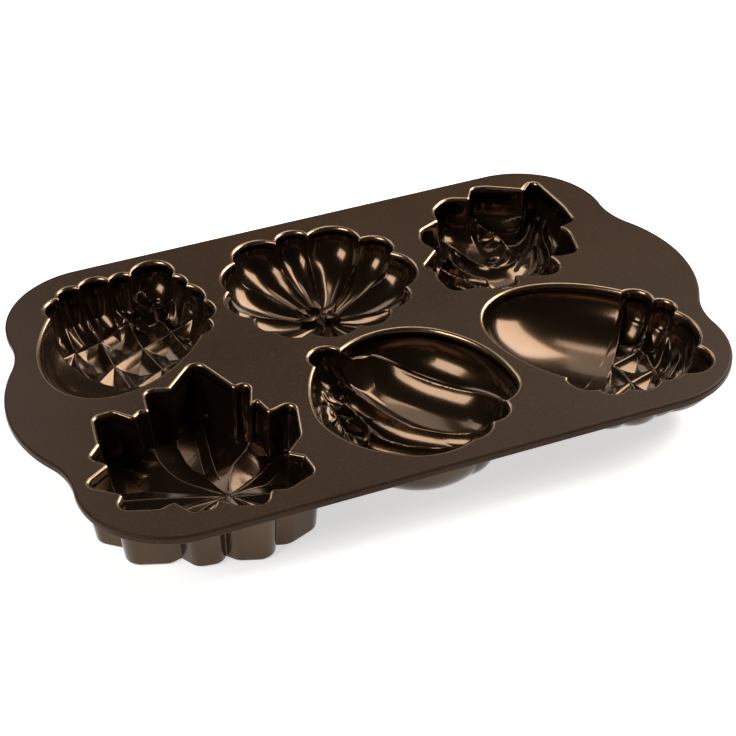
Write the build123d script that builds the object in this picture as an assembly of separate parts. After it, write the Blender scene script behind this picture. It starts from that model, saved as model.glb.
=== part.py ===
from build123d import *
from math import atan2, cos, degrees, hypot, radians, sin, sqrt
import os

# A six-cup cakelet pan: one flat deck with a lobed grip at each end, and six fancy
# mould cups that hang below it and stand on their flat feet.
# Millimetres. X runs along the pan, Y towards its back edge, Z up from the feet.
# The origin is the middle of the pan on the surface that it stands on.

# Heights and walls
pan_height = 33.0
deck_thickness = 4.5
cup_wall = 3.0
edge_round = 1.2

# Plan of the deck
cup_size = 100.0
web_between_columns = 1.0
web_between_rows = 2.0
end_margin = 12.0
side_margin = 11.0
corner_radius = 46.0
grip_reach = 15.0
grip_radius = 76.5
grip_throat_radius = 38.4
grip_depth = 13.0

# Depths below the top of the deck
acorn_nut_depth = 24.5
acorn_cap_depth = 25.0
pumpkin_depth = 27.5
rosette_depth = 20.0
rosette_trough_depth = 28.0
maple_depth = 28.5
squash_rib_depth = 29.0
squash_side_depth = 22.0

# Relief inside the moulds
acorn_half_length = 60.0
acorn_half_width = 39.4
cap_overhang = 5.0
cap_edge_depth = 11.0
cap_root = 22.0
scale_depth = 4.5
cap_lattice_u = (16.8, 7.4)
cap_lattice_v = (-2.0, 21.0)
petal_swirl = 62.0
maple_taper = 0.94
vein_height = 3.0
vein_width = 5.0
calyx_points = 5
calyx_radius = 12.0
calyx_waist = 5.5
calyx_depth = 1.0
stem_radius = 3.6
stem_depth = 1.8
clear_above = 2.0
foot_cut = 0.5

# How square the bowls are in section (2 is an ellipse), and how far down their domes
# the flat floor of the hollow and the flat foot of the outside lie
cap_power = 3.2
cap_floor_at = 0.9
cap_foot_at = 0.93
pumpkin_power = 2.3
pumpkin_floor_at = 0.975
pumpkin_foot_at = 0.965
rosette_power = 5.0
rosette_floor_at = 0.8
rosette_foot_at = 0.85
squash_power = 2.6
squash_foot_at = 0.94
bowl_steps = (0.0, 0.25, 0.5, 0.7, 0.86, 1.0)
lip_at = 0.05

# The outlines are drawn for moulds 100 mm across, about the middle of each cell
drawn_size = 100.0
plan_scale = cup_size / drawn_size
column_pitch = cup_size + web_between_columns
row_pitch = cup_size + web_between_rows
body_half_length = column_pitch + cup_size / 2 + end_margin
body_half_width = row_pitch / 2 + cup_size / 2 + side_margin
pan_half_length = body_half_length + grip_reach
grip_joint_x = pan_half_length - grip_depth
deck_underside = pan_height - deck_thickness


def cell(column, row):
    """The middle of a mould's cell: column is -1, 0 or 1, row is -1 or 1."""
    return Vector(column * column_pitch, row * row_pitch / 2)


def drawn(x, y):
    return Vector(x * plan_scale, y * plan_scale)


def arc_chain(notches, crests):
    """A closed outline of arcs, each from one notch over a crest to the next notch."""
    starts = [drawn(*point) for point in notches]
    tops = [drawn(*point) for point in crests]
    ends = starts[1:] + starts[:1]
    return Wire([Edge.make_three_point_arc(*points) for points in zip(starts, tops, ends)])


def rounded_polygon(corners):
    """A closed outline of straight lines, with a radius of its own at each corner."""
    points = [drawn(x, y) for x, y, _ in corners]
    radii = [radius * plan_scale for _, _, radius in corners]
    return FilletPolyline(*points, radius=radii, close=True).wire()


def dome(fraction, power):
    """How wide a rounded mould still is at this fraction of its full depth."""
    return (1 - fraction**power) ** (1 / power)


def lofted(outline, focus, middle, sections, ruled=False):
    """A solid through copies of an outline, each a (depth, size) about the focus."""
    wires = []
    for depth, size in sections:
        level = pan_height - depth
        copy = outline.moved(Location(-focus)).scale(size)
        wires.append(copy.moved(Location(middle + focus + Vector(0, 0, level))))
    return Solid.make_loft(wires, ruled=ruled)


def bowl(outline, focus, middle, depth, power, flat_at):
    """A rounded bowl; flat_at is the fraction of the dome's depth where its floor lies."""
    sections = [(step * depth, dome(step * flat_at, power)) for step in bowl_steps]
    lip = 2 * sections[0][1] - dome(lip_at, power)
    return lofted(outline, focus, middle, [(-clear_above, lip)] + sections)


def ellipsoid(middle, half_length, half_width, depth, angle, top=pan_height):
    ball = scale(Sphere(1.0), (half_length, half_width, depth))
    return Location((middle.X, middle.Y, top), (0, 0, angle)) * ball


def above_feet(solid):
    """Cuts a cup's outside at the surface that the pan stands on and at the deck."""
    reach = 2 * pan_half_length
    slab = Box(reach, reach, deck_underside, align=(Align.CENTER, Align.CENTER, Align.MIN))
    return solid & slab


# The deck with its two end lobes


def deck_outline():
    corner = Vector(body_half_length - corner_radius, body_half_width - corner_radius)
    grip = Vector(pan_half_length - grip_radius, 0)
    to_grip = grip_radius + grip_throat_radius
    to_corner = corner_radius + grip_throat_radius
    span = (corner - grip).length
    along = (to_grip**2 - to_corner**2 + span**2) / (2 * span)
    across = sqrt(to_grip**2 - along**2)
    direction = (corner - grip).normalized()
    throat = grip + direction * along + Vector(direction.Y, -direction.X) * across
    grip_end = grip + (throat - grip).normalized() * grip_radius
    corner_end = corner + (throat - corner).normalized() * corner_radius
    inward = ((grip - throat).normalized() + (corner - throat).normalized()).normalized()
    throat_middle = throat + inward * grip_throat_radius
    corner_top = corner + Vector(0, corner_radius)
    outward = ((corner_end - corner) + (corner_top - corner)).normalized()
    corner_middle = corner + outward * corner_radius
    grip_tip = grip + Vector(grip_radius, 0)

    def place(point, side_x, side_y):
        return Vector(point.X * side_x, point.Y * side_y)

    edges = []
    for side_x, side_y in ((1, 1), (1, -1), (-1, 1), (-1, -1)):
        for arc in ((corner_top, corner_middle, corner_end), (corner_end, throat_middle, grip_end)):
            edges.append(Edge.make_three_point_arc(*[place(p, side_x, side_y) for p in arc]))
    for side_x in (1, -1):
        ends = [place(p, side_x, s) for p, s in ((grip_end, 1), (grip_tip, 1), (grip_end, -1))]
        edges.append(Edge.make_three_point_arc(*ends))
    for side_y in (1, -1):
        edges.append(Edge.make_line(place(corner_top, -1, side_y), place(corner_top, 1, side_y)))
    return Wire(edges)


def deck_blank():
    """The whole plate with its rounded top and bottom edges, before it is parted and pierced."""
    plate = extrude(Face(deck_outline()), deck_thickness, dir=(0, 0, 1))
    plate = fillet(plate.edges().group_by(Axis.Z)[-1], edge_round)
    plate = fillet(plate.edges().group_by(Axis.Z)[0], edge_round)
    return Pos(0, 0, deck_underside) * plate


# The acorns, whose caps are quilted with sunken scales


def acorn_depth(x, y, middle, angle, depth, overhang):
    """Depth of the acorn's round body, or of the cap that stands proud of it by overhang."""
    turn = radians(angle)
    along = (x - middle.X) * cos(turn) + (y - middle.Y) * sin(turn)
    across = (y - middle.Y) * cos(turn) - (x - middle.X) * sin(turn)
    half_length = acorn_half_length * plan_scale + overhang
    half_width = acorn_half_width * plan_scale + overhang
    ratio = hypot(along / half_length, across / half_width)
    return depth * sqrt(max(0.0, 1 - ratio**2))


def quilt(origin, across_range, along_range, depth_at):
    """A block whose underside is a net of ridges, with a sunken pyramid in every mesh."""
    top = pan_height + clear_above

    def node(i, j):
        x = origin.X + (i * cap_lattice_u[0] + j * cap_lattice_v[0]) * plan_scale
        y = origin.Y + (i * cap_lattice_u[1] + j * cap_lattice_v[1]) * plan_scale
        return x, y

    def ridge(i, j):
        x, y = node(i, j)
        return Vector(x, y, pan_height - depth_at(x, y))

    def lid(i, j):
        x, y = node(i, j)
        return Vector(x, y, top)

    faces = []
    for i in across_range:
        for j in along_range:
            corners = [ridge(i, j), ridge(i + 1, j), ridge(i + 1, j + 1), ridge(i, j + 1)]
            x, y = node(i + 0.5, j + 0.5)
            apex = Vector(x, y, pan_height - depth_at(x, y) - scale_depth)
            for a, b in zip(corners, corners[1:] + corners[:1]):
                faces.append(Face(Wire.make_polygon([a, b, apex])))
            mesh = [lid(i, j), lid(i + 1, j), lid(i + 1, j + 1), lid(i, j + 1)]
            faces.append(Face(Wire.make_polygon(mesh)))
    i_low, i_high = across_range[0], across_range[-1] + 1
    j_low, j_high = along_range[0], along_range[-1] + 1
    for i in across_range:
        for j in (j_low, j_high):
            side = [ridge(i, j), ridge(i + 1, j), lid(i + 1, j), lid(i, j)]
            faces.append(Face(Wire.make_polygon(side)))
    for j in along_range:
        for i in (i_low, i_high):
            side = [ridge(i, j), ridge(i, j + 1), lid(i, j + 1), lid(i, j)]
            faces.append(Face(Wire.make_polygon(side)))
    return Solid(Shell(faces))


def cap_side(start, through, end, axis):
    """A tall prism over everything on the cap's side of the arc where nut and cap meet."""
    along = axis * cup_size
    across = (end - start).normalized() * cup_size
    far = [end + across, end + across + along, start - across + along, start - across]
    rim = [Edge.make_three_point_arc(start, through, end)]
    rim += [Edge.make_line(a, b) for a, b in zip([end] + far, far + [start])]
    return extrude(Face(Wire(rim)), 4 * pan_height, dir=(0, 0, 1), both=True)


def acorn(middle, nut_middle, angle, meeting, bumps, crests, focus, origin, across_range, along_range):
    """The outside and the hollow of an acorn cup: a smooth nut and a scaled cap.

    meeting is the arc where nut and cap meet. bumps and crests draw the cap's rim between
    its ends, and the cap's outline is closed behind the meeting arc, inside the nut."""
    nut = nut_middle + middle
    axis = Vector(cos(radians(angle)), sin(radians(angle)))
    start, through, end = [drawn(*point) for point in meeting]
    side = Location(middle) * cap_side(start, through, end, axis)
    behind = through - axis * cap_root * plan_scale
    cap = arc_chain(bumps, crests + [(behind.X / plan_scale, behind.Y / plan_scale)])

    def cap_depth(x, y):
        domed = acorn_depth(x, y, nut, angle, acorn_cap_depth, cap_overhang)
        return max(domed, cap_edge_depth)

    half_length = acorn_half_length * plan_scale
    half_width = acorn_half_width * plan_scale
    nut_hollow = ellipsoid(nut, half_length, half_width, acorn_nut_depth, angle) - side
    quilted = quilt(middle + drawn(*origin), across_range, along_range, cap_depth)
    deepest = acorn_cap_depth + scale_depth
    cap_bowl = bowl(cap, drawn(*focus), middle, deepest, cap_power, cap_floor_at)
    cap_hollow = (cap_bowl & quilted) & side
    outer_length = half_length + cup_wall
    outer_width = half_width + cup_wall
    nut_outside = ellipsoid(nut, outer_length, outer_width, pan_height + foot_cut, angle)
    nut_outside -= Location(axis * 2 * cup_wall) * side
    rim = cap.offset_2d(cup_wall)
    cap_outside = bowl(rim, drawn(*focus), middle, pan_height, cap_power, cap_foot_at)
    return above_feet(nut_outside + cap_outside), nut_hollow + cap_hollow


def cap_acorn():
    """An acorn that lies cap outwards at the back left."""
    return acorn(
        cell(-1, 1),
        drawn(-4.5, 3.1),
        54.5,
        [(-38, 24), (-15.5, -14), (27, -21)],
        [(-38, 24), (-30, 39), (-18, 44), (-2, 44), (10, 45),
         (30, 36), (39, 7), (35, -10), (27, -21)],
        [(-39, 32), (-26, 46), (-10, 50), (4, 48.5),
         (23, 53), (37.5, 21), (41.5, -1), (34, -17)],
        (6, 20),
        (5, 12.5),
        range(-4, 4),
        range(-3, 4),
    )


def side_acorn():
    """An acorn that lies nut outwards at the front right."""
    return acorn(
        cell(1, -1),
        drawn(4.6, 3.4),
        -48.2,
        [(-20, -32), (12, 0), (32, 31)],
        [(32, 31), (43, 18), (48, 5), (44, -25), (27, -41),
         (14, -42), (-3, -41), (-15, -37), (-26, -24)],
        [(42, 27), (50.5, 12), (51.5, -9), (41, -42),
         (20.5, -43.5), (5, -46), (-9, -43.5), (-24, -32)],
        (16, -14),
        (32.4, -5.1),
        range(-5, 3),
        range(-4, 4),
    )


# The pumpkin seen from above, with lobes that run down to its stem


def pumpkin():
    outline = arc_chain(
        [(6, 44), (30, 29), (40, 10), (35, -22), (20, -37), (1, -44),
         (-23, -42), (-39, -33), (-44, -18), (-49, 10), (-38, 34), (-12, 43)],
        [(21, 46), (42, 24), (47, -6), (33, -32), (12, -46.5), (-10, -49),
         (-33, -41), (-45, -27), (-54, -4), (-48, 25), (-27, 49), (-2, 51)],
    )
    focus = drawn(-4, 2)
    middle = cell(0, 1)
    hollow = bowl(outline, focus, middle, pumpkin_depth, pumpkin_power, pumpkin_floor_at)
    floor = middle + focus + Vector(0, 0, pan_height - pumpkin_depth)
    points = []
    for k in range(2 * calyx_points):
        radius = calyx_radius if k % 2 == 0 else calyx_waist
        angle = radians(180 * (k + 0.5) / calyx_points)
        points.append(Vector(radius * cos(angle), radius * sin(angle)))
    star = Face(Wire.make_polygon(points))
    hollow += Location(floor) * extrude(star, amount=-calyx_depth, both=True)
    hollow += Location(floor) * Cylinder(stem_radius, 2 * (calyx_depth + stem_depth))
    rim = outline.offset_2d(cup_wall)
    outside = bowl(rim, focus, middle, pan_height, pumpkin_power, pumpkin_foot_at)
    return above_feet(outside), hollow


# The rosette of curled petals: each ring is a count, a radius, the half length and half
# width of its petals, and the angle of its first petal

petal_rings = [(7, 30, 19, 11, 10), (4, 13, 12, 8, 40)]


def rosette():
    outline = rounded_polygon(
        [(4.5, 52.5, 4), (12, 50.5, 6), (31, 38.7, 1.5), (33.5, 44.5, 3), (39.5, 44, 4),
         (42, 15, 30), (41, 0, 4), (31, -2.5, 1.2), (33.5, -9, 10), (29, -28.5, 5),
         (18.5, -28, 6), (13.5, -24.5, 1.2), (15, -34, 8), (11, -43.5, 7), (-5, -38, 10),
         (-11, -34.5, 1.2), (-11, -41.5, 5), (-19, -45.5, 8), (-33.5, -37, 1.2),
         (-46.5, -37, 8), (-47.5, -22, 6), (-46, -16.5, 1.2), (-50.5, -9, 4), (-38, 3, 1.2),
         (-42, 14, 8), (-38, 24, 6), (-26, 29, 1.2), (-24, 40, 10), (-13, 48.5, 10),
         (-1.5, 42.5, 1.2)]
    )
    focus = drawn(-4, 5)
    middle = cell(1, 1)
    hollow = bowl(outline, focus, middle, rosette_depth, rosette_power, rosette_floor_at)
    bed = pan_height - rosette_depth + clear_above
    trough = rosette_trough_depth - rosette_depth + clear_above
    for count, ring, half_length, half_width, lead in petal_rings:
        for k in range(count):
            angle = 360 * k / count + lead
            spot = drawn(ring * cos(radians(angle)), ring * sin(radians(angle)))
            hollow += ellipsoid(
                middle + focus + spot,
                half_length * plan_scale,
                half_width * plan_scale,
                trough,
                angle + petal_swirl,
                bed,
            )
    # The petals stop at the inner face of a wall that follows the outside
    hollow &= bowl(outline, focus, middle, pan_height, rosette_power, rosette_foot_at)
    rim = outline.offset_2d(cup_wall, kind=Kind.INTERSECTION)
    outside = bowl(rim, focus, middle, pan_height, rosette_power, rosette_foot_at)
    return above_feet(outside), hollow


# The maple leaf, with steep walls and raised veins on its floor


def maple():
    outline = rounded_polygon(
        [(17.5, 63, 5), (28.5, 33.5, 2), (37.5, 36, 3.6), (30, 15.5, 1), (35, 20, 1.2),
         (37.5, 8.5, 2), (51.5, 13, 4), (45, -13, 7), (34.5, -23.5, 2), (41, -29, 3),
         (42, -41, 5), (27, -47, 6), (19.5, -44.5, 2), (15, -53.5, 5), (2.5, -49, 5),
         (-4, -41, 2), (-8, -47, 4), (-17, -45.5, 4), (-22.5, -35.5, 2), (-30, -37.5, 5),
         (-48, -31, 5), (-42, -21.5, 2), (-57, -9, 4), (-42, 1, 2), (-49.5, 9, 4),
         (-42.5, 17, 2), (-40, 37.5, 4), (-30, 38, 3), (-23, 29.5, 2), (-18, 33.5, 2),
         (-14.5, 31, 1.5), (-12, 48.5, 4), (-0.5, 44.5, 3)]
    )
    focus = drawn(-1, 1)
    middle = cell(-1, -1)
    lip = (-clear_above, 1 + (1 - maple_taper) * clear_above / maple_depth)
    hollow = lofted(outline, focus, middle, [lip, (maple_depth, maple_taper)], True)
    foot = (pan_height, 1 - (1 - maple_taper) * pan_height / maple_depth)
    rim = outline.offset_2d(cup_wall, kind=Kind.INTERSECTION)
    outside = lofted(rim, focus, middle, [lip, foot], True)
    floor = pan_height - maple_depth
    fork = drawn(6, -36)
    tips = [drawn(16, 54), drawn(-34, 31), drawn(44, 8), drawn(-46, -20), drawn(36, -36)]
    half = vein_width / 2
    section = Face(Wire.make_polygon([(0, -half, 0), (0, half, 0), (0, 0, vein_height)]))
    start = middle + fork + Vector(0, 0, floor)
    for tip in tips:
        run = tip - fork
        vein = extrude(section, run.length, dir=(1, 0, 0))
        hollow -= Location(start, (0, 0, degrees(atan2(run.Y, run.X)))) * vein
    return above_feet(outside), hollow


# The squash that lies on its side, a bundle of ribs from stem to blossom end


def squash():
    outline = arc_chain(
        [(-16, 41), (35, 37), (54, -9), (41, -27), (29, -39),
         (16, -47.5), (-22, -42), (-44, -4), (-31, 34)],
        [(6, 48), (49.5, 15), (51, -20.5), (39.5, -35), (25.5, -44.5),
         (0, -51), (-38, -25), (-40.5, 15), (-27, 46.5)],
    )
    middle = cell(0, -1)
    # Each rib is its middle, half length, half width, depth and the angle of its long axis
    ribs = [
        (22, 11, 43, 26.6, squash_side_depth, -50),
        (17, 3, 44, 14, squash_rib_depth, -60),
        (7, -5, 43, 11, squash_rib_depth, -64),
        (-8, -9, 46, 33.5, squash_side_depth, -64.5),
        (-22, 38, 11, 8, squash_side_depth / 2, -30),
    ]
    hollow = None
    for x, y, half_length, half_width, depth, angle in ribs:
        centre = middle + drawn(x, y)
        rib = ellipsoid(centre, half_length * plan_scale, half_width * plan_scale, depth, angle)
        hollow = rib if hollow is None else hollow + rib
    rim = outline.offset_2d(cup_wall)
    outside = bowl(rim, drawn(4, -3), middle, pan_height, squash_power, squash_foot_at)
    return above_feet(outside), hollow


blank = deck_blank()
one_way = (Align.MIN, Align.CENTER, Align.CENTER)
beyond = Box(pan_half_length, 4 * body_half_width, 4 * pan_height, align=one_way)
right_end = Pos(grip_joint_x, 0, 0) * beyond
left_end = right_end.mirror(Plane.YZ)
deck = blank - right_end - left_end

moulds = {
    "cap_acorn_cup": cap_acorn(),
    "pumpkin_cup": pumpkin(),
    "petal_rosette_cup": rosette(),
    "maple_leaf_cup": maple(),
    "ribbed_squash_cup": squash(),
    "side_acorn_cup": side_acorn(),
}

pieces = {"left_grip": blank & left_end, "right_grip": blank & right_end}
taken = None
for name, (outside, hollow) in moulds.items():
    deck -= hollow
    own = outside if taken is None else outside - taken
    taken = outside if taken is None else taken + outside
    pieces[name] = own - hollow
pieces["deck_plate"] = deck

os.makedirs("parts", exist_ok=True)
for name, piece in pieces.items():
    export_step(piece, f"parts/{name}.step")
    print(name, round(piece.volume), len(piece.solids()))
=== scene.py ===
import math

import bpy
import numpy as np
from mathutils import Matrix, Vector
from mathutils.geometry import delaunay_2d_cdt


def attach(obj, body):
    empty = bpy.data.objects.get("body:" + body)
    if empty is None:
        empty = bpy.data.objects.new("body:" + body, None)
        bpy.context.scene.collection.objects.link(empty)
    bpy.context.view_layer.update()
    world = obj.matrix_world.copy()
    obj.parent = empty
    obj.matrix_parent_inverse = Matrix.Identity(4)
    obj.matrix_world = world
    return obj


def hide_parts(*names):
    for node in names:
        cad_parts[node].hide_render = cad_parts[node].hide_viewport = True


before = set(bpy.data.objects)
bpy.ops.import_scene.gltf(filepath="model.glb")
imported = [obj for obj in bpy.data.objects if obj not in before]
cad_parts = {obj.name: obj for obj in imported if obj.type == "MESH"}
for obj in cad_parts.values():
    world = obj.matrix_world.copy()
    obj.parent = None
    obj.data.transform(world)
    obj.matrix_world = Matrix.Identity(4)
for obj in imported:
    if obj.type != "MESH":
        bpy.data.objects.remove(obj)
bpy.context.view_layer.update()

# Sizes in millimetres, in the row frame. Outlines and features of a mould are drawn about
# the middle of its cell, and depths are counted down from the top of the deck.
HEIGHT = 33.0
DECK = 4.5
WALL = 3.0
ROUND = 1.8             # rounding of a mould's rim
RIM_IN = 0.6            # how far the wall below it starts inside the traced outline
EDGE = 1.3              # rounding of the deck's own edge
COLUMN = 101.0
ROW = 51.0
GRIP_X = 165.0          # where the grips meet the plate
LEAF_WALL = 0.062       # share of the leaf mould's width that its steep wall takes
STEP = 0.55             # spacing of the points along a mould's outline
EVEN_LOBE = 0.52        # radians, about a twelfth of a turn

# Depths of the moulds below their rims, and how square they are in section
NUT_DEPTH, NUT_POWER = 23.3, 2.1
CAP_DEPTH, CAP_POWER, SCALE_TOP = 23.0, 3.0, 21.6
SCALE_DEPTH, SCALE_SLOPE = 5.2, 1.15
PUMPKIN_DEPTH, PUMPKIN_POWER = 26.0, 2.3
ROSETTE_DEPTH, ROSETTE_POWER = 24.2, 5.0
LEAF_DEPTH = 27.2
SQUASH_DEPTH, SQUASH_POWER = 27.0, 2.6


# The plan of the deck

def arc_through(a, b, c, step=STEP):
    """Points along the arc from a over b to c, without c."""
    (ax, ay), (bx, by), (cx, cy) = a, b, c
    d = 2 * (ax * (by - cy) + bx * (cy - ay) + cx * (ay - by))
    if abs(d) < 1e-6:
        n = max(2, int(math.dist(a, c) / step))
        return [(ax + (cx - ax) * k / n, ay + (cy - ay) * k / n) for k in range(n)]
    aa, bb, cc = ax**2 + ay**2, bx**2 + by**2, cx**2 + cy**2
    ux = (aa * (by - cy) + bb * (cy - ay) + cc * (ay - by)) / d
    uy = (aa * (cx - bx) + bb * (ax - cx) + cc * (bx - ax)) / d
    r = math.hypot(ax - ux, ay - uy)
    start, over, end = [math.atan2(y - uy, x - ux) for x, y in (a, b, c)]
    over = (over - start) % (2 * math.pi)
    sweep = (end - start) % (2 * math.pi)
    if over > sweep:
        sweep -= 2 * math.pi
    n = max(2, int(abs(sweep) * r / step))
    angles = [start + sweep * k / n for k in range(n)]
    return [(ux + r * math.cos(angle), uy + r * math.sin(angle)) for angle in angles]


def arc_chain(notches, crests):
    """A closed outline of lobes, each an arc from a notch over its crest to the next notch."""
    points = []
    for a, b, c in zip(notches, crests, notches[1:] + notches[:1]):
        points += arc_through(a, b, c)
    return np.array(points)


def rounded_polygon(corners):
    """A closed outline of straight lines with a radius of its own at each corner."""
    n = len(corners)
    at = [np.array(corner[:2], float) for corner in corners]

    def rounding(k):
        """Where a corner's arc begins, has its middle and ends."""
        p, radius = at[k], corners[k][2]
        before, after = at[k - 1] - p, at[(k + 1) % n] - p
        before /= np.linalg.norm(before)
        after /= np.linalg.norm(after)
        half = math.acos(np.clip(before @ after, -1, 1)) / 2
        reach = radius / math.tan(half)
        bisector = (before + after) / np.linalg.norm(before + after)
        middle = p + bisector * (radius / math.sin(half) - radius)
        return p + before * reach, middle, p + after * reach

    points = []
    for k in range(n):
        begin, middle, start = rounding(k)
        end = rounding((k + 1) % n)[0]
        points += arc_through(tuple(begin), tuple(middle), tuple(start))
        steps = max(1, int(np.linalg.norm(end - start) / STEP))
        points += [tuple(start + (end - start) * j / steps) for j in range(steps)]
    return np.array(points)


def counter_clockwise(points):
    x, y = points.T
    area = np.sum(x * np.roll(y, -1) - np.roll(x, -1) * y)
    return points if area > 0 else points[::-1]


def dilated(outline, centre, directions, by):
    """Distance from centre, along each direction, of the outline moved outwards by this much."""
    rel = outline - centre
    along = directions @ rel.T
    across = directions[:, :1] * rel[:, 1] - directions[:, 1:] * rel[:, 0]
    inside = by**2 - across**2
    reach = np.where(inside > 0, along + np.sqrt(np.maximum(inside, 0)), -1e9)
    return reach.max(1)


def smooth(x, a, b):
    t = np.clip((x - a) / (b - a), 0, 1)
    return t * t * (3 - 2 * t)


def to_line(x, y, line):
    """Distance from each point to a polyline, its side (above 0 is left), and how far along."""
    best = np.full(x.shape, 1e9)
    side = np.ones(x.shape)
    run = np.zeros(x.shape)
    lengths = [math.dist(a, b) for a, b in zip(line, line[1:])]
    total = sum(lengths)
    so_far = 0.0
    for (ax, ay), (bx, by), length in zip(line, line[1:], lengths):
        t = np.clip(((x - ax) * (bx - ax) + (y - ay) * (by - ay)) / length**2, 0, 1)
        dx, dy = x - ax - t * (bx - ax), y - ay - t * (by - ay)
        d = np.hypot(dx, dy)
        closer = d < best
        best = np.where(closer, d, best)
        side = np.where(closer, np.sign((bx - ax) * (y - ay) - (by - ay) * (x - ax)), side)
        run = np.where(closer, (so_far + t * length) / total, run)
        so_far += length
    return best, side, run


def curve(points, per=8):
    """A smooth line through points (Catmull-Rom)."""
    p = np.array(points, float)
    p = np.vstack([2 * p[0] - p[1], p, 2 * p[-1] - p[-2]])
    out = []
    for k in range(1, len(p) - 2):
        for j in range(per):
            t = j / per
            out.append(0.5 * (2 * p[k] + (p[k + 1] - p[k - 1]) * t
                              + (2 * p[k - 1] - 5 * p[k] + 4 * p[k + 1] - p[k + 2]) * t**2
                              + (3 * p[k] - p[k - 1] - 3 * p[k + 1] + p[k + 2]) * t**3))
    out.append(p[-2])
    return [tuple(q) for q in out]


def dome(t, power):
    return np.maximum(0, 1 - np.clip(t, 0, 1)**power) ** (1 / power)


# What each mould looks like inside: depth below the rim's rounding, from the place in the
# plan and from t, which is 0 at the mould's centre and 1 at its outline

def ridge_net(x, y, lines):
    """Extra depth that grows away from a net of ridges, so that each mesh is a sunken scale."""
    d = np.full(x.shape, 1e9)
    for line in lines:
        d = np.minimum(d, to_line(x, y, line)[0])
    d = np.sqrt(d**2 + 0.25) - 0.5
    return SCALE_DEPTH * (1 - np.exp(-SCALE_SLOPE * d / SCALE_DEPTH))


CAP_EDGE = arc_through((-42, 30), (-15.5, -14), (32, -23), 3) + [(32, -23)]
CAP_LINES = [
    curve([(-30, 39), (-28.5, 24), (-30, 10), (-27, -3)]),
    curve([(-18, 44), (-16, 34), (-14.1, 25.5), (-12.9, 2), (-10, -20)]),
    curve([(-2, 44), (1, 39), (3.5, 34.5), (4.8, 11.5), (10, -16)]),
    curve([(10, 45), (13.5, 40), (17.2, 37.5), (21.8, 17.5), (26, -12)]),
    curve([(30, 36), (33, 22), (37, 2)]),
    curve([(-38, 12), (-26.5, 20), (-14.1, 25.5), (3.5, 34.5), (17.2, 37.5), (27, 33)]),
    curve([(-30, -14), (-12.9, 2), (4.8, 11.5), (21.8, 17.5), (42, 17)]),
    curve([(-10, -20), (10, -9), (26, -5), (40, -8)]),
]


def acorn(x, y, t, cap_edge, lines):
    """How far a place is in the cap, from 0 to 1, and the depths of nut, plain and scaled cap."""
    edge, side, _ = to_line(x, y, cap_edge)
    in_cap = smooth(edge * side, -0.4, 0.4)
    nut = NUT_DEPTH * dome(t, NUT_POWER)
    plain = CAP_DEPTH * dome(t, CAP_POWER)
    scaled = np.minimum(plain, SCALE_TOP) + ridge_net(x, y, lines) * smooth(1 - t, 0.02, 0.12)
    return in_cap, nut, plain, scaled


def cap_acorn(x, y, t):
    in_cap, nut, plain, body = acorn(x, y, t, CAP_EDGE, CAP_LINES)
    stem = np.hypot((x - 21) / 12.0, (y - 43.5) / 12.0)
    in_stem = smooth(1.0 - stem, -0.04, 0.04)
    ring = np.hypot(x - 20.5, y - 41)
    stub = np.minimum(plain, 12.7 + 5.0 * np.clip(1 - (ring / 9.5)**2, 0, 1))
    stub = stub + 1.5 * smooth(3.4 - ring, -0.3, 0.3) * smooth(1 - t, 0.05, 0.15)
    body = body * (1 - in_stem) + stub * in_stem
    return nut * (1 - in_cap) + body * in_cap


SIDE_EDGE = [(42, 39.6), (34.9, 30.5), (15.2, 5.6), (-11.7, -28.8), (-21, -41)]
SIDE_LINES = [
    curve([(32, 31), (38, 24), (40, 17), (33, 11), (14.3, 5)]),
    curve([(43, 18), (46, 8), (41, 1), (32, -6), (16.7, -11), (2, -18)]),
    curve([(48, 5), (45, -8), (38, -14), (29, -21), (12, -29)]),
    curve([(44, -25), (36, -28), (24, -36)]),
    curve([(20, 22), (32.5, 11), (32, -6), (29, -21), (27, -41)]),
    curve([(8, 12), (14.3, 5), (16.7, -11), (12, -29), (14, -42)]),
    curve([(-2, -8), (2, -18), (-3, -41)]),
]


def side_acorn(x, y, t):
    in_cap, nut, _, body = acorn(x, y, t, SIDE_EDGE, SIDE_LINES)
    return nut * (1 - in_cap) + body * in_cap


PUMPKIN_NOTCHES = [(6, 44), (30, 29), (40, 10), (35, -22), (20, -37), (1, -44),
                   (-23, -42), (-39, -33), (-44, -18), (-49, 10), (-38, 34), (-12, 43)]
PUMPKIN_CRESTS = [(21, 46), (42, 24), (47, -6), (33, -32), (12, -46.5), (-10, -49),
                  (-33, -41), (-45, -27), (-54, -4), (-48, 25), (-27, 49), (-2, 51)]
PUMPKIN_CENTRE = (-1.0, 2.0)
CALYX_CENTRE, CALYX_TURN = (-3.0, 5.5), 0.68
CALYX_STEM = 26.6


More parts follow.
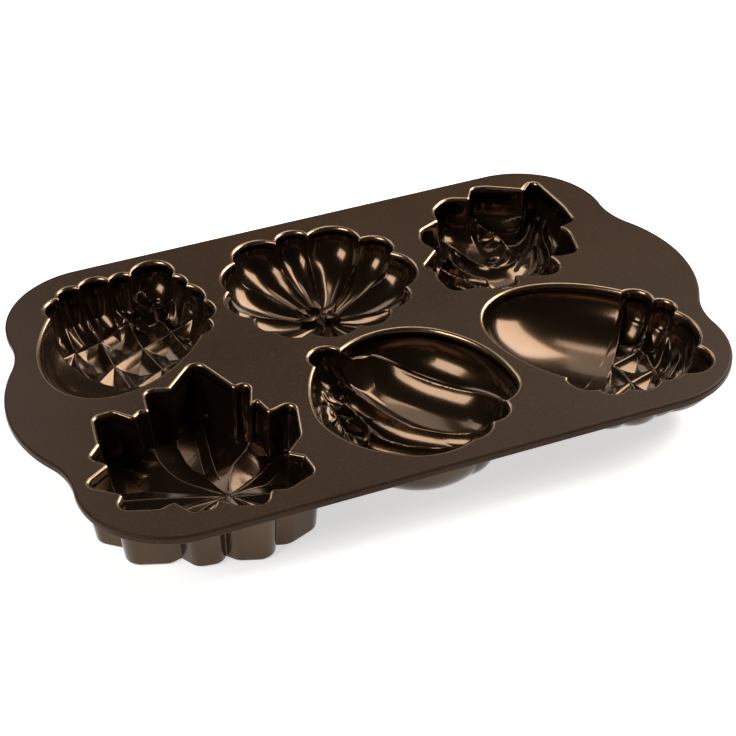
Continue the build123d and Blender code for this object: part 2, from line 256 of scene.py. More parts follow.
def pumpkin(x, y, t):
    cx, cy = PUMPKIN_CENTRE
    angle = np.arctan2(y - cy, x - cx)
    notch = np.sort([math.atan2(b - cy, a - cx) for a, b in PUMPKIN_NOTCHES])
    notch = np.concatenate([[notch[-1] - 2 * math.pi], notch, [notch[0] + 2 * math.pi]])
    k = np.clip(np.searchsorted(notch, angle) - 1, 0, len(notch) - 2)
    s = 2 * (angle - notch[k]) / (notch[k + 1] - notch[k]) - 1
    wide = (notch[k + 1] - notch[k]) / EVEN_LOBE
    body = PUMPKIN_DEPTH * dome(t, PUMPKIN_POWER)
    rib = 3.4 * wide * np.abs(s)**2.4 * smooth(t, 0.08, 0.5) * smooth(1 - t, 0.0, 0.3)
    depth = body - rib
    east, north = x - CALYX_CENTRE[0], y - CALYX_CENTRE[1]
    rho = np.hypot(east, north)
    around = np.arctan2(north, east) + CALYX_TURN
    star = 8.6 + 3.9 * (2 / math.pi) * np.arcsin(np.cos(6 * around))
    calyx = smooth(star - rho, -0.35, 0.35)
    vein = 0.9 * (1 - np.abs(np.cos(3 * around))) * smooth(rho, 2, 6)
    depth = depth * (1 - calyx) + (22.6 - 0.10 * rho + vein) * calyx
    stem = smooth(3.3 - np.hypot(x + 4.5, y - 8.5), -0.35, 0.35)
    return depth * (1 - stem) + CALYX_STEM * stem


def crest(points):
    """A ridge from points with their depths: the line, and the depth along it."""
    fine = curve(points)
    line = [(p[0], p[1]) for p in fine]
    lengths = [math.dist(a, b) for a, b in zip(line, line[1:])]
    runs = np.concatenate([[0.0], np.cumsum(lengths)]) / sum(lengths)
    return line, runs, np.array([p[2] for p in fine]) - ROUND


def scooped(x, y, floor, ridges):
    """The floor between sharp ridges, hollow to the width given left and right of each."""
    depth = floor
    for (line, runs, depths), left, right in ridges:
        d, side, run = to_line(x, y, line)
        top = np.interp(run, runs, depths)
        u = np.clip(np.sqrt(d**2 + 0.09) / np.where(side > 0, left, right), 0, 1)
        rise = np.sqrt(1 - (1 - u)**2)
        depth = np.minimum(depth, np.where(top < floor, top + (floor - top) * rise, floor))
    return depth


# The crest of each petal's edge, then the width of the hollow on its left and on its right
ROSE_EDGES = [
    (crest([(-1.5, 43, 6), (3.7, 41.5, 14), (6.5, 36.5, 17), (12, 31.4, 18), (19.4, 29, 18),
            (26.3, 31.6, 15), (31.5, 38, 6)]), 15, 4),
    (crest([(9.8, 31.6, 18.4), (11.8, 28.6, 19.4), (12, 24.6, 20), (10.3, 18.7, 20.5),
            (5.7, 13.6, 21), (1, 10.7, 22)]), 3, 10),
    (crest([(-26, 29, 6), (-18.2, 27.5, 15), (-14.8, 22.8, 18), (-12.6, 16.2, 18.5),
            (-9.4, 8.8, 18.5), (-4.4, 3.9, 18.5), (2.9, 3.2, 19), (9.5, 6.5, 20),
            (14, 12.5, 21)]), 3.5, 13),
    (crest([(38.5, 36, 8), (32.4, 29.2, 17), (26.8, 22.5, 19), (20.7, 14.2, 19.5),
            (13.5, 6.8, 20), (8, 1, 21)]), 3.5, 9),
    (crest([(40.5, 30, 5), (35.4, 25.4, 13), (31, 16.4, 15.5), (28.4, 4.1, 16.5),
            (24.5, -6, 18)]), 8, 4),
    (crest([(27.5, 14.3, 19), (21.6, 2.6, 19.5), (15.5, -6.1, 19.5), (7, -12, 20),
            (-3, -13.2, 20.5)]), 3, 7),
    (crest([(31, -2.5, 4), (27, -5.6, 13), (21, -9.5, 16), (14.5, -14.5, 17.5),
            (8, -18, 18.5)]), 3.5, 9),
    (crest([(-38, 3, 5), (-31, 1.6, 13), (-25, -3.8, 15), (-20, -11.2, 16),
            (-14.6, -15.9, 16.5), (-8.2, -17.9, 17), (-1.2, -17.2, 18),
            (5, -13.5, 20)]), 3.5, 11),
    (crest([(-46, -16.5, 5), (-39, -17, 12), (-31, -20.4, 14.5), (-24, -25.6, 16),
            (-16, -28.8, 17), (-7, -29.5, 18)]), 3.5, 9),
    (crest([(13.5, -24.5, 5), (8, -25.6, 13), (1.5, -25, 16.5), (-5.5, -23, 18.5)]), 8, 3.5),
    (crest([(-11, -34.5, 5), (-13.5, -31, 14), (-18, -27, 17.5)]), 5, 5),
    (crest([(-23.5, 19.5, 14), (-22.4, 12, 17), (-18, 3.4, 18.5), (-11.4, -3.3, 19.5)]), 3, 7),
]


def rosette(x, y, t):
    body = ROSETTE_DEPTH * dome(t, ROSETTE_POWER)
    depth = scooped(x, y, body, ROSE_EDGES)
    middle = np.hypot(x - 3, y - 17)
    depth = np.minimum(depth, np.where(middle < 5, 21.5 + 2.7 * (middle / 5)**2, body))
    return body + (depth - body) * smooth(1 - t, 0.0, 0.08)


MAPLE_RIDGES = [
    # Line from a notch to the fork, height at the wall and at the fork, half width
    (curve([(29, 15.5), (25, 11), (17, 5), (12, -3), (9.5, -12)]), 9, 3.0, 9.0),
    (curve([(34.5, -23.5), (28, -21), (18, -17), (9.5, -12)]), 7, 3.0, 8.0),
    (curve([(19.5, -44.5), (15, -34), (11, -22), (9.5, -12)]), 7, 3.0, 8.0),
    (curve([(-4, -41), (0, -30), (5, -18), (9.5, -12)]), 7, 3.0, 8.0),
    (curve([(-22.5, -35.5), (-13, -28), (-1, -17), (9.5, -12)]), 7, 3.0, 8.0),
    (curve([(-42, -21.5), (-28, -19), (-10, -14), (9.5, -12)]), 7, 3.0, 8.0),
    (curve([(-42, 1), (-28, -2), (-12, -6), (9.5, -12)]), 7, 3.0, 8.0),
    (curve([(-15, 31), (-14, 18), (-8, 4), (9.5, -12)]), 8, 3.0, 9.0),
]
MAPLE_VEINS = [
    curve([(9.5, -12), (9, 8), (12, 30), (16, 54)]),
    curve([(9.5, -12), (-6, 4), (-22, 18), (-36, 32)]),
    curve([(9.5, -12), (22, -6), (36, 3), (48, 11)]),
    curve([(9.5, -12), (-12, -11), (-34, -10), (-52, -8)]),
    curve([(9.5, -12), (20, -24), (36, -38)]),
    curve([(9.5, -12), (-6, -22), (-26, -29), (-44, -30)]),
]


def maple(x, y, t):
    wall = LEAF_DEPTH * np.clip((1 - t) / LEAF_WALL, 0, 1)
    raised = np.zeros(x.shape)
    for line, high, low, width in MAPLE_RIDGES:
        d, _, run = to_line(x, y, line)
        d = np.sqrt(d**2 + 0.09)
        height = high + (low - high) * run
        raised = np.maximum(raised, height * np.maximum(0, 1 - d / (1.5 * width)))
    for line in MAPLE_VEINS:
        d, _, _ = to_line(x, y, line)
        d = np.sqrt(d**2 + 0.04)
        raised = np.maximum(raised, 3.6 * np.maximum(0, 1 - d / 5.0) ** 1.3)
    return np.minimum(wall, LEAF_DEPTH - raised)


SQUASH_RIDGES = [
    (crest([(-9, 43, 4), (-0.1, 46.2, 9), (8.6, 42.1, 13), (16.5, 32.6, 15), (25, 22, 16),
            (33.6, 11.7, 16), (41.8, 0.9, 14), (45.6, -13.1, 9), (45.1, -23.5, 4)]), 11, 13),
    (crest([(-17.6, 29.6, 9), (-14.5, 26.4, 12), (-9.8, 19.1, 15), (-4.2, 7.8, 17),
            (2.7, -3.2, 18), (10.6, -11.4, 18), (19, -18.5, 17), (27, -25.9, 13),
            (31.5, -35.8, 4)]), 13, 12),
    (crest([(-23.1, 17.4, 12), (-20.1, 10.5, 14), (-16.6, -4.1, 15), (-11.1, -12.2, 16),
            (-3, -19.8, 16), (8.3, -28.5, 14), (16, -42, 4)]), 12, 12),
]
LEAF = [(-34, 40), (-27, 38), (-24.5, 33), (-20, 28.5), (-17, 22), (-17.5, 13), (-15.5, 5),
        (-18, -3), (-22, -6), (-27, -2), (-31, -8), (-35, -5), (-38, 3), (-37.5, 12),
        (-35, 21), (-35.5, 30)]
LEAF_RIB = curve([(-33, 36), (-29, 26), (-27, 14), (-26.5, 0)])
LEAF_VEINS = [[(-29, 26), (-20.5, 22)], [(-28, 18), (-18.5, 8)], [(-27, 8), (-21, -1)],
              [(-29, 24), (-35, 21)], [(-27.5, 14), (-36.5, 6)], [(-27, 7), (-33, -4)]]


def inside(x, y, outline):
    odd = np.zeros(x.shape, bool)
    for (ax, ay), (bx, by) in zip(outline, np.roll(outline, -1, 0)):
        if ay != by:
            crossing = (bx - ax) * (y - ay) / (by - ay) + ax
            odd ^= ((ay > y) != (by > y)) & (x < crossing)
    return odd


def squash(x, y, t):
    body = SQUASH_DEPTH * dome(t, SQUASH_POWER)
    depth = scooped(x, y, body, SQUASH_RIDGES)
    depth = body + (depth - body) * smooth(1 - t, 0.0, 0.05)
    d, _, _ = to_line(x, y, LEAF + LEAF[:1])
    leaf = smooth(np.where(inside(x, y, LEAF), d, -d), -0.35, 0.35)
    vein, _, _ = to_line(x, y, LEAF_RIB)
    for line in LEAF_VEINS:
        vein = np.minimum(vein, to_line(x, y, line)[0])
    relief = 2.0 - 1.4 * np.exp(-(vein / 0.8)**2) + 0.3 * np.cos(vein * 0.9)
    return depth - leaf * relief * smooth(1 - t, 0.02, 0.1)


MAPLE_OUTLINE = rounded_polygon([
    (17.5, 63, 5), (28.5, 33.5, 2), (37.5, 36, 3.6), (30, 15.5, 1), (35, 20, 1.2),
    (37.5, 8.5, 2), (51.5, 13, 4), (45, -13, 7), (34.5, -23.5, 2), (41, -29, 3),
    (42, -41, 5), (27, -47, 6), (19.5, -44.5, 2), (15, -53.5, 5), (2.5, -49, 5),
    (-4, -41, 2), (-8, -47, 4), (-17, -45.5, 4), (-22.5, -35.5, 2), (-30, -37.5, 5),
    (-48, -31, 5), (-42, -21.5, 2), (-57, -9, 4), (-42, 1, 2), (-49.5, 9, 4),
    (-42.5, 17, 2), (-40, 37.5, 4), (-30, 38, 3), (-23, 29.5, 2), (-18, 33.5, 2),
    (-14.5, 31, 1.5), (-12, 48.5, 4), (-0.5, 44.5, 3)])


ROSETTE_OUTLINE = rounded_polygon([
    (4.5, 52.5, 4), (12, 50.5, 6), (31, 38.7, 1.5), (33.5, 44.5, 3), (39.5, 44, 4),
    (42, 15, 30), (41, 0, 4), (31, -2.5, 1.2), (33.5, -9, 10), (29, -28.5, 5),
    (18.5, -28, 6), (13.5, -24.5, 1.2), (15, -34, 8), (11, -43.5, 7), (-5, -38, 10),
    (-11, -34.5, 1.2), (-11, -41.5, 5), (-19, -45.5, 8), (-33.5, -37, 1.2),
    (-46.5, -37, 8), (-47.5, -22, 6), (-46, -16.5, 1.2), (-50.5, -9, 4), (-38, 3, 1.2),
    (-42, 14, 8), (-38, 24, 6), (-26, 29, 1.2), (-24, 40, 10), (-13, 48.5, 10),
    (-1.5, 42.5, 1.2)])


def ellipse_arc(centre, half_length, half_width, angle, first, last):
    """Points along an ellipse, counter-clockwise between the directions of two points."""
    c, s = math.cos(math.radians(angle)), math.sin(math.radians(angle))

    def parameter(point):
        dx, dy = point[0] - centre[0], point[1] - centre[1]
        return math.atan2((dy * c - dx * s) / half_width, (dx * c + dy * s) / half_length)

    start, end = parameter(first), parameter(last)
    if end < start:
        end += 2 * math.pi
    n = int((end - start) * (half_length + half_width) / 2 / STEP)
    out = []
    for k in range(1, n):
        a = start + (end - start) * k / n
        u, v = half_length * math.cos(a), half_width * math.sin(a)
        out.append((centre[0] + u * c - v * s, centre[1] + u * s + v * c))
    return np.array(out)


def acorn_outline(centre, size, angle, notches, crests):
    """The scalloped rim of the cap, then the ellipse of the nut."""
    rim = []
    for a, b, c in zip(notches, crests, notches[1:]):
        rim += arc_through(a, b, c)
    rim = np.array(rim + [notches[-1]])
    turn = np.sum(rim[:-1, 0] * rim[1:, 1] - rim[1:, 0] * rim[:-1, 1])
    if turn < 0:
        rim = rim[::-1]
    nut = ellipse_arc(centre, size[0], size[1], angle, tuple(rim[-1]), tuple(rim[0]))
    return np.vstack([rim, nut])


MOULDS = {
    "cap_acorn_cup": dict(
        cell=(-1, 1), depth=cap_acorn, centre=(-4.5, 3.1), power=2.4,
        outline=acorn_outline(
            (-4.5, 3.1), (61.3, 39.4), 54.5,
            [(-38, 24), (-30, 39), (-18, 44), (-2, 44), (10, 45), (29.8, 36.5), (33.8, 25),
             (37.8, 8), (34.3, -9.2), (26.6, -20.2)],
            [(-39, 32), (-26, 46), (-10, 50), (4, 48.5), (23, 53), (34.4, 31.5),
             (38.6, 18.5), (40.2, -1.8), (33.8, -16.8)])),
    "pumpkin_cup": dict(
        cell=(0, 1), depth=pumpkin, centre=PUMPKIN_CENTRE, power=2.5,
        outline=arc_chain(PUMPKIN_NOTCHES, PUMPKIN_CRESTS)),
    "petal_rosette_cup": dict(
        cell=(1, 1), depth=rosette, centre=(-2, 6), power=5.0, outline=ROSETTE_OUTLINE),
    "maple_leaf_cup": dict(
        cell=(-1, -1), depth=maple, centre=(2.0, -8.0), power=14.0, outline=MAPLE_OUTLINE),
    "ribbed_squash_cup": dict(
        cell=(0, -1), depth=squash, centre=(4, -3), power=2.8,
        outline=arc_chain(
            [(-16, 41), (35, 37), (54, -9), (41, -27), (29, -39),
             (16, -47.5), (-22, -42), (-44, -4), (-31, 34)],
            [(6, 48), (49.5, 15), (51, -20.5), (39.5, -35), (25.5, -44.5),
             (0, -51), (-38, -25), (-40.5, 15), (-27, 46.5)])),
    "side_acorn_cup": dict(
        cell=(1, -1), depth=side_acorn, centre=(4.6, 3.4), power=2.4,
        outline=acorn_outline(
            (4.6, 3.4), (59.4, 39.3), -48.2,
            [(32, 31), (43, 18), (48, 5), (44, -25), (27, -41), (14, -42), (-3, -41),
             (-15, -37), (-26, -24)],
            [(42, 27), (50.5, 12), (51.5, -9), (41, -42), (20.5, -43.5), (5, -46),
             (-9, -43.5), (-24, -32)])),
}


# The deck's outline: body corners, end lobes and the hollow arcs between them

def deck_outline(step=0.7):
    half_length, half_width, corner = 163.0, 112.0, 46.0
    reach, lobe, throat_radius = 178.0, 76.5, 38.4
    corner_at = np.array([half_length - corner, half_width - corner])
    lobe_at = np.array([reach - lobe, 0.0])
    to_lobe, to_corner = lobe + throat_radius, corner + throat_radius
    span = np.linalg.norm(corner_at - lobe_at)
    along = (to_lobe**2 - to_corner**2 + span**2) / (2 * span)
    across = math.sqrt(to_lobe**2 - along**2)
    direction = (corner_at - lobe_at) / span
    throat = lobe_at + direction * along + np.array([direction[1], -direction[0]]) * across
    lobe_end = lobe_at + (throat - lobe_at) / to_lobe * lobe
    corner_end = corner_at + (throat - corner_at) / to_corner * corner

    def arc(centre, radius, a, b):
        first = math.atan2(*(a - centre)[::-1])
        last = math.atan2(*(b - centre)[::-1])
        sweep = (last - first + math.pi) % (2 * math.pi) - math.pi
        n = max(2, round(abs(sweep) * radius / step))
        angles = first + sweep * np.arange(n + 1) / n
        return centre + radius * np.stack([np.cos(angles), np.sin(angles)], 1)

    joint = np.array([GRIP_X, throat[1] - math.sqrt(throat_radius**2 - (GRIP_X - throat[0])**2)])
    quarter = [arc(lobe_at, lobe, np.array([reach, 0.0]), lobe_end)]
    quarter.append(arc(throat, throat_radius, lobe_end, joint)[1:])
    quarter.append(arc(throat, throat_radius, joint, corner_end)[1:])
    quarter.append(arc(corner_at, corner, corner_end, corner_at + [0, corner])[1:])
    n = round(corner_at[0] / step)
    along_side = corner_at[0] * (1 - np.arange(1, n + 1) / n)
    quarter.append(np.stack([along_side, np.full(n, half_width)], 1))
    quarter = np.vstack(quarter)
    half = np.vstack([quarter, quarter[-2::-1] * [-1, 1]])
    return np.vstack([half, half[-2:0:-1] * [1, -1]])


def offset_in(points, by):
    """A smooth closed outline moved inwards."""
    ahead, behind = np.roll(points, -1, 0), np.roll(points, 1, 0)
    tangent = ahead - behind
    tangent /= np.linalg.norm(tangent, axis=1)[:, None]
    return points + by * np.stack([-tangent[:, 1], tangent[:, 0]], 1)


# Building the surfaces

RIM_STEPS = 7           # rings in a mould's rounded rim
STEEP = 10              # moulds squarer than this have straight walls and a flat floor
CUP_POWER = 3.2         # least squareness of a cup's outside
CUP_RINGS = 26
SEAM_REACH = 60         # half the length of the joint between the plate and a grip


def at_height(ring, z):
    return np.column_stack([ring, np.full(len(ring), z)])


def strip(loops):
    """Quads between rings of equal length; loops are index arrays."""
    faces = []
    for a, b in zip(loops, loops[1:]):
        an, bn = np.roll(a, -1), np.roll(b, -1)
        faces.append(np.stack([a, an, bn, b], 1))
    return np.vstack(faces)


def mould_surface(name):
    """The inside of a mould from the deck's flat top down, as rings from the rim inwards."""
    m = MOULDS[name]
    outline = counter_clockwise(m["outline"])
    centre = np.array(m["centre"], float)
    rel = outline - centre
    radius = np.linalg.norm(rel, axis=1)
    directions = rel / radius[:, None]
    rings, heights = [], []
    steps = RIM_STEPS
    for k in range(steps):
        phi = math.pi / 2 * k / steps
        by = ROUND * (1 - math.sin(phi)) - RIM_IN
        out = dilated(outline, centre, directions, by) if by > 0 else radius + by
        rings.append(centre + directions * np.maximum(out, radius + by)[:, None])
        heights.append(np.full(len(radius), -ROUND * (1 - math.cos(phi))))
    count = 120
    if m["power"] > STEEP:
        wall = list(1 - LEAF_WALL * np.linspace(0, 1, 16))
        ts = wall + list(np.linspace(1 - LEAF_WALL, 0, count - 20)[1:-1])
    else:
        ts = list(1 - (np.arange(count) / count) ** 1.25)
    seam = seam_t(m)
    ts = np.array(sorted(ts + [seam], reverse=True))
    ts = ts[np.concatenate([[True], np.diff(ts) < -1e-5])]
    grid = centre + ts[:, None, None] * (rel * (1 - RIM_IN / radius)[:, None])[None]
    x, y = grid[..., 0], grid[..., 1]
    depth = ROUND + m["depth"](x, y, np.broadcast_to(ts[:, None], x.shape))
    rings += list(grid)
    heights += list(-depth)
    middle = [np.array([value]) for value in (*centre, 0.0)]
    bottom = ROUND + float(m["depth"](*middle)[0])
    seam_ring = steps + int(np.argmin(abs(ts - seam)))
    return np.array(rings), np.array(heights), centre, -bottom, seam_ring, outline


def seam_t(m):
    """Where the inside passes the deck's underside."""
    at = np.array(m["centre"], float)
    probe = m["outline"][:1]
    low, high = 0.5, 1.0
    for _ in range(50):
        t = (low + high) / 2
        p = at + t * (probe - at)
        depth = ROUND + m["depth"](p[:, 0], p[:, 1], np.array([t]))[0]
        low, high = (t, high) if depth > DECK else (low, t)
    return (low + high) / 2


class Shell:
    """Vertices and polygons, in millimetres in the row frame."""

    def __init__(self):
        self.points, self.faces, self.count = [], [], 0

    def add(self, points):
        self.points.append(np.asarray(points, float))
        first = self.count
        self.count += len(points)
        return np.arange(first, self.count)

    def quads(self, loops):
        self.faces += [tuple(f) for f in strip(loops)]

    def fan(self, ring, tip):
        following = np.roll(ring, -1)
        self.faces += [(int(a), int(b), int(tip)) for a, b in zip(ring, following)]

    def welded(self):
        points = np.vstack(self.points)
        keys = np.round(points / 0.002).astype(np.int64)
        _, first, where = np.unique(keys, axis=0, return_index=True, return_inverse=True)
        where = where.reshape(-1)
        faces = []
        for face in self.faces:
            kept = []
            for v in (int(where[i]) for i in face):
                if v not in kept:
                    kept.append(v)
            if len(kept) > 2:
                faces.append(tuple(kept))
        return points[first], faces


def vertex_normals(points, faces):
    """Normals weighted by face area, for triangles and quads."""
    total = np.zeros_like(points)
    for size in {len(f) for f in faces}:
        f = np.array([face for face in faces if len(face) == size])
        p = points[f]
        if size == 3:
            n = np.cross(p[:, 1] - p[:, 0], p[:, 2] - p[:, 0])
        else:
            n = np.cross(p[:, 2] - p[:, 0], p[:, 3] - p[:, 1])
        for k in range(size):
            np.add.at(total, f[:, k], n)
    length = np.linalg.norm(total, axis=1)
    return total / np.maximum(length, 1e-12)[:, None]


def make_object(name, points, faces, normals):
    used = np.unique(np.concatenate([np.array(f) for f in faces]))
    index = np.full(len(points), -1)
    index[used] = np.arange(len(used))
    mesh = bpy.data.meshes.new(name)
    kept = [tuple(int(index[v]) for v in f) for f in faces]
    mesh.from_pydata((points[used] / 1000).tolist(), [], kept)
    mesh.update()
    mesh.polygons.foreach_set("use_smooth", np.ones(len(mesh.polygons), bool))
    mesh.normals_split_custom_set_from_vertices(normals[used].tolist())
    obj = bpy.data.objects.new(name, mesh)
    bpy.context.scene.collection.objects.link(obj)
    return obj


def flat(outline, holes, joints):
    """Triangles of the plane between an outline and holes, with edges along the joints."""
    points, edges = [], []
    for loop in [outline] + holes:
        first = len(points)
        points += [tuple(p) for p in loop]
        edges += [(first + k, first + (k + 1) % len(loop)) for k in range(len(loop))]
    for a, b in joints:
        first = len(points)
        points += [a, b]
        edges.append((first, first + 1))
    out = delaunay_2d_cdt([Vector(p) for p in points], edges, [], 0, 1e-5)
    verts = np.array([tuple(v) for v in out[0]])
    faces = np.array([tuple(f) for f in out[2]])
    x, y = verts[faces].mean(1).T
    return verts, faces[inside(x, y, outline) & ~np.any([inside(x, y, h) for h in holes], axis=0)]


def upward(verts, faces, up):
    """Turns flat triangles to face up or down."""
    p = verts[faces]
    area = ((p[:, 1, 0] - p[:, 0, 0]) * (p[:, 2, 1] - p[:, 0, 1])
            - (p[:, 1, 1] - p[:, 0, 1]) * (p[:, 2, 0] - p[:, 0, 0]))
    flip = (area < 0) if up else (area > 0)
    faces = faces.copy()
    faces[flip] = faces[flip][:, ::-1]
    return faces


deck = Shell()
outer = deck_outline()


def edge_ring(phi, level, side):
    """A ring of the deck's rounded edge; phi is 0 where the edge leaves the flat face."""
    return deck.add(at_height(offset_in(outer, EDGE * (1 - math.sin(phi))),
                              level + side * EDGE * (1 - math.cos(phi))))


loops = [edge_ring(math.pi / 2 * k / 6, HEIGHT, -1) for k in range(7)]
loops += [edge_ring(math.pi / 2 * (1 - k / 6), HEIGHT - DECK, 1) for k in range(1, 7)]
deck.quads([ring[::-1] for ring in loops])

holes_top, holes_below, cups = [], [], {}
for name in MOULDS:
    rings, heights, centre, bottom, seam_ring, outline = mould_surface(name)
    column, row = MOULDS[name]["cell"]
    shift = np.array([column * COLUMN, row * ROW])
    placed = rings + shift
    holes_top.append(placed[0])
    holes_below.append(placed[seam_ring])
    levels = HEIGHT + heights
    levels[seam_ring] = HEIGHT - DECK
    ids = [deck.add(np.column_stack(ring)) for ring in zip(placed[..., 0], placed[..., 1], levels)]
    deck.quads(ids)
    tip = deck.add([[*(centre + shift), HEIGHT + bottom]])[0]
    deck.fan(ids[-1], tip)
    cups[name] = dict(shift=shift, seam=placed[seam_ring], outline=outline, centre=centre)

joints = [((x, -SEAM_REACH), (x, SEAM_REACH)) for x in (GRIP_X, -GRIP_X)]
for holes, z, up in ((holes_top, HEIGHT, True), (holes_below, HEIGHT - DECK, False)):
    verts, faces = flat(offset_in(outer, EDGE), holes, joints)
    ids = deck.add(at_height(verts, z))
    deck.faces += [tuple(ids[f]) for f in upward(verts, faces, up)]

points, faces = deck.welded()
normals = vertex_normals(points, faces)
normals[points[:, 2] > HEIGHT - 1e-4] = (0, 0, 1)
middles = np.array([points[list(f)].mean(0) for f in faces])
low = np.array([points[list(f), 2].min() for f in faces])
groups = {"deck_plate": [], "left_grip": [], "right_grip": []}
groups.update({name: [] for name in MOULDS})
mould_at = {m["cell"]: name for name, m in MOULDS.items()}
for face, middle, lowest in zip(faces, middles, low):
    if middle[0] > GRIP_X:
        groups["right_grip"].append(face)
    elif middle[0] < -GRIP_X:
        groups["left_grip"].append(face)
    elif lowest > HEIGHT - DECK - 0.01:
        groups["deck_plate"].append(face)
    else:
        column = int(np.clip(round(middle[0] / COLUMN), -1, 1))
        row = 1 if middle[1] > 0 else -1
        groups[mould_at[column, row]].append(face)


def cup_outside(name, shell_points, shell_faces, shell_normals):
    """Closes a cup: its outside, its flat foot, and the ring where it meets the deck."""
    cup = cups[name]
    m = MOULDS[name]
    outline, centre = cup["outline"], cup["centre"]
    rel = outline - centre
    directions = rel / np.linalg.norm(rel, axis=1)[:, None]
    rim = dilated(outline, centre, directions, WALL)
    power = max(m["power"], CUP_POWER)
    shell = Shell()
    if power > STEEP:
        taper, corner = 0.945, 1.6
        sizes = list(np.linspace(1.0, taper, 8))
        levels = list(DECK + (HEIGHT - DECK - corner) * np.linspace(0, 1, 8))
        for k in range(1, 6):
            phi = math.pi / 2 * k / 5
            sizes.append(taper - 0.03 * (1 - math.cos(phi)))
            levels.append(HEIGHT - corner + corner * math.sin(phi))
        foot = 1.0
    else:
        full = 1.012 * HEIGHT       # where the wall would close, a little below the foot
        first = (1 - (DECK / full) ** power) ** (1 / power)
        sizes, levels = [], []
        for k in range(CUP_RINGS + 1):
            depth = DECK + (HEIGHT - DECK) * math.sin(math.pi / 2 * k / CUP_RINGS)
            sizes.append((1 - (depth / full) ** power) ** (1 / power) / first)
            levels.append(depth)
        foot = sizes[-1]
    sizes += [foot * 0.6, foot * 0.3]
    levels += [HEIGHT, HEIGHT]
    rings = []
    for size, depth in zip(sizes, levels):
        ring = centre + directions * (rim * size)[:, None] + cup["shift"]
        rings.append(shell.add(at_height(ring, HEIGHT - depth)))
    shell.quads([r[::-1] for r in rings])
    tip = shell.add([[*(centre + cup["shift"]), 0.0]])[0]
    shell.fan(rings[-1][::-1], tip)
    seam = shell.add(at_height(cup["seam"], HEIGHT - DECK))
    shell.quads([rings[0], seam])
    out_points, out_faces = shell.welded()
    out_normals = vertex_normals(out_points, out_faces)
    first = len(shell_points)
    joined = np.vstack([shell_points, out_points])
    joined_normals = np.vstack([shell_normals, out_normals])
    joined_faces = list(shell_faces) + [tuple(v + first for v in f) for f in out_faces]
    return joined, joined_faces, joined_normals


pieces = {}
for name in groups:
    if name in MOULDS:
        p, f, n = cup_outside(name, points, groups[name], normals)
    else:
        p, f, n = points, groups[name], normals
    pieces[name] = make_object("shown_" + name, p, f, n)

# The plate's faces inside the moulds, and those of them on the rounded rims, which get the painted
# highlight of the rim coat
plate_faces = groups["deck_plate"]
tall = np.array([np.ptp(points[list(f), 2]) > 1e-3 for f in plate_faces])
rounded = np.array([points[list(f), 2].mean() for f in plate_faces]) > HEIGHT - ROUND
plan = np.array([points[list(f), :2].mean(0) for f in plate_faces])
in_mould = tall & inside(*plan.T, offset_in(outer, EDGE + 0.05))


# Materials

def coating(name, base, warm, glint, roughness, fleck, gloss, metallic, specular=0.5):
    """A cast surface's coating: two tones in soft clouds, with fine flecks of a third."""
    material = bpy.data.materials.new(name)
    material.use_nodes = True
    tree = material.node_tree
    shader = tree.nodes["Principled BSDF"]
    place = tree.nodes.new("ShaderNodeTexCoord")

    def noise(scale, detail):
        made = tree.nodes.new("ShaderNodeTexNoise")
        made.inputs["Scale"].default_value = scale
        made.inputs["Detail"].default_value = detail
        tree.links.new(place.outputs["Object"], made.inputs["Vector"])
        return made.outputs["Fac"]

    def ramp(factor, stops):
        made = tree.nodes.new("ShaderNodeValToRGB")
        for element, (position, colour) in zip(made.color_ramp.elements, stops):
            element.position = position
            element.color = (*colour, 1)
        tree.links.new(factor, made.inputs["Fac"])
        return made.outputs["Color"]

    grain = noise(scale=900.0, detail=3.0)
    clouds = ramp(noise(scale=14.0, detail=4.0), [(0.38, base), (0.68, warm)])
    flecks = ramp(grain, [(0.56, (0, 0, 0)), (0.74, (fleck, fleck, fleck))])
    mix = tree.nodes.new("ShaderNodeMix")
    mix.data_type = "RGBA"
    mix.inputs["B"].default_value = (*glint, 1)
    tree.links.new(flecks, mix.inputs["Factor"])
    tree.links.new(clouds, mix.inputs["A"])
    tree.links.new(mix.outputs["Result"], shader.inputs["Base Color"])
    shader.inputs["Metallic"].default_value = metallic
    shader.inputs["Specular IOR Level"].default_value = specular
    shader.inputs["Coat Weight"].default_value = gloss
    shader.inputs["Coat Roughness"].default_value = 0.06
    rough = tree.nodes.new("ShaderNodeMapRange")
    rough.inputs["To Min"].default_value = roughness - 0.04
    rough.inputs["To Max"].default_value = roughness + 0.06
    tree.links.new(grain, rough.inputs["Value"])
    tree.links.new(rough.outputs["Result"], shader.inputs["Roughness"])
    bump = tree.nodes.new("ShaderNodeBump")
    bump.inputs["Strength"].default_value = 0.12
    bump.inputs["Distance"].default_value = 0.00006
    tree.links.new(grain, bump.inputs["Height"])
    tree.links.new(bump.outputs["Normal"], shader.inputs["Normal"])
    return material


# The plate wears all three coats. The rim coat, on its rounded rims only, is a painted highlight:
# a brighter metal that stands in for the bright lines the lamps draw along the rims
deck_coat = coating(
    "deck_coating", base=(0.031, 0.0165, 0.0088), warm=(0.039, 0.0215, 0.0120),
    glint=(0.072, 0.046, 0.029), roughness=0.34, fleck=0.5, gloss=0.0, metallic=0.0, specular=0.08)
mould_coat = coating(
    "mould_coating", base=(0.062, 0.035, 0.018), warm=(0.084, 0.049, 0.026),
    glint=(0.11, 0.07, 0.04), roughness=0.17, fleck=0.4, gloss=0.25, metallic=0.9)
# Painted highlight: a brighter, fully metallic coat that stands in for the bright lines of light
# along the mould rims
rim_highlight_coat = coating(
    "rim_painted_highlight", base=(0.26, 0.17, 0.10), warm=(0.34, 0.23, 0.14),
    glint=(0.4, 0.3, 0.2), roughness=0.24, fleck=0.3, gloss=0.3, metallic=1.0)

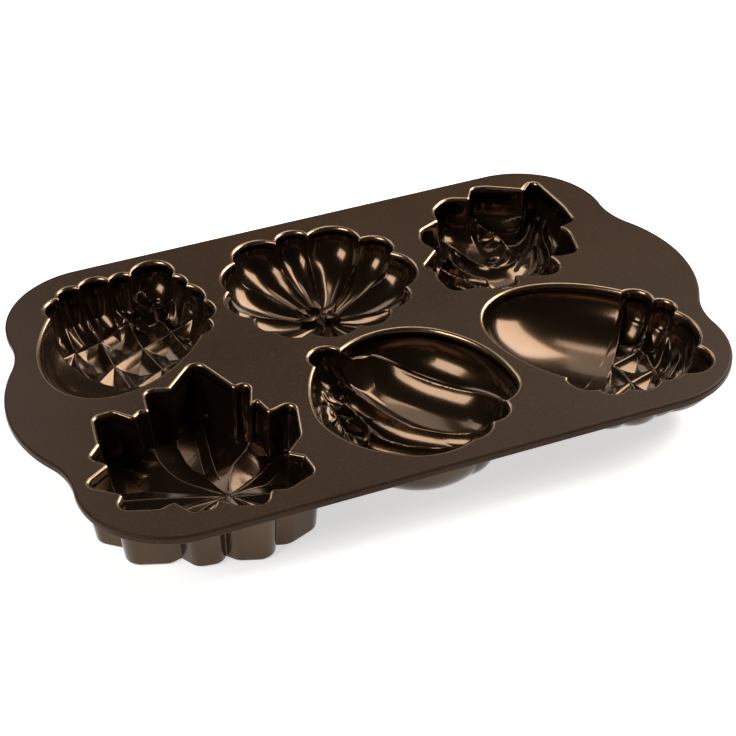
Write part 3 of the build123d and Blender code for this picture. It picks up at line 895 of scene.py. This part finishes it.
for name, piece in pieces.items():
    piece.data.materials.append(mould_coat if name in MOULDS else deck_coat)
    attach(piece, "root")
    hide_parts(name)
plate = pieces["deck_plate"]
plate.data.materials.append(mould_coat)
plate.data.materials.append(rim_highlight_coat)
# Slot 2, the rim coat with its painted highlight, goes on the rounded rim faces
plate.data.polygons.foreach_set("material_index", in_mould.astype(np.int32) + (in_mould & rounded))

# Floor, light and camera

bpy.ops.mesh.primitive_plane_add(size=8)
floor = bpy.context.object
floor.name = "studio_floor"
paper = bpy.data.materials.new("studio_paper")
paper.use_nodes = True
sheet = paper.node_tree.nodes["Principled BSDF"].inputs
sheet["Base Color"].default_value = (0.92, 0.92, 0.92, 1)
sheet["Roughness"].default_value = 0.9
sheet["Specular IOR Level"].default_value = 0.0
sheet["Emission Color"].default_value = (1, 1, 1, 1)
sheet["Emission Strength"].default_value = 0.62
floor.data.materials.append(paper)
floor.location.z = -0.0004    # metres, just below the feet


def studio_box(name, azimuth, elevation, spread, radiance, colour, distance=1.3):
    """A softbox seen from the pan at an azimuth from +Y to +X, spread in degrees across and up."""
    az, el = math.radians(azimuth), math.radians(elevation)
    at = Vector((distance * math.sin(az) * math.cos(el), distance * math.cos(az) * math.cos(el),
                 distance * math.sin(el)))
    lamp = bpy.data.lights.new(name, "AREA")
    lamp.shape = "RECTANGLE"
    width, height = [2 * distance * math.tan(math.radians(angle / 2)) for angle in spread]
    lamp.size, lamp.size_y = width, height
    lamp.energy = radiance * math.pi * width * height
    lamp.color = colour
    obj = bpy.data.objects.new(name, lamp)
    bpy.context.scene.collection.objects.link(obj)
    obj.location = at
    obj.rotation_mode = "QUATERNION"
    obj.rotation_quaternion = (-at).to_track_quat("-Z", "Y")


studio_box("cream_right", 77, 38, (44, 34), 9.0, (1.0, 0.95, 0.87))
studio_box("grey_back_right", 29, 50, (20, 30), 1.5, (1.0, 0.98, 0.95))
studio_box("rim_high", 36, 64, (20, 8), 4.0, (1.0, 0.95, 0.88))
studio_box("back_left", -12, 40, (24, 20), 2.6, (0.97, 0.98, 1.0))
studio_box("left", -105, 37, (28, 24), 8.0, (1.0, 0.97, 0.93))

world = bpy.data.worlds.new("studio")
bpy.context.scene.world = world
world.use_nodes = True
world.node_tree.nodes["Background"].inputs["Color"].default_value = (1, 0.99, 0.98, 1)
world.node_tree.nodes["Background"].inputs["Strength"].default_value = 0.035

bpy.context.scene.view_settings.view_transform = "Standard"

lens = bpy.data.cameras.new("camera")
camera = bpy.data.objects.new("camera", lens)
bpy.context.scene.collection.objects.link(camera)
bpy.context.scene.camera = camera
lens.sensor_fit = "AUTO"
SENSOR, FOCAL_PIXELS, PICTURE_PIXELS = 36.0, 1911, 736
lens.sensor_width = SENSOR
lens.lens = FOCAL_PIXELS / PICTURE_PIXELS * SENSOR
forward = Vector((0.285, 0.753, -0.593)).normalized()
right = forward.cross(Vector((0.238, 0.544, 0.805))).normalized()
up = right.cross(forward)
turned = Matrix((right, up, -forward)).transposed()
place = Vector((-0.2703, -0.7206, 0.5447 + HEIGHT / 1000))
camera.matrix_world = Matrix.Translation(place) @ turned.to_4x4()
lens.clip_start = 0.01
lens.clip_end = 20
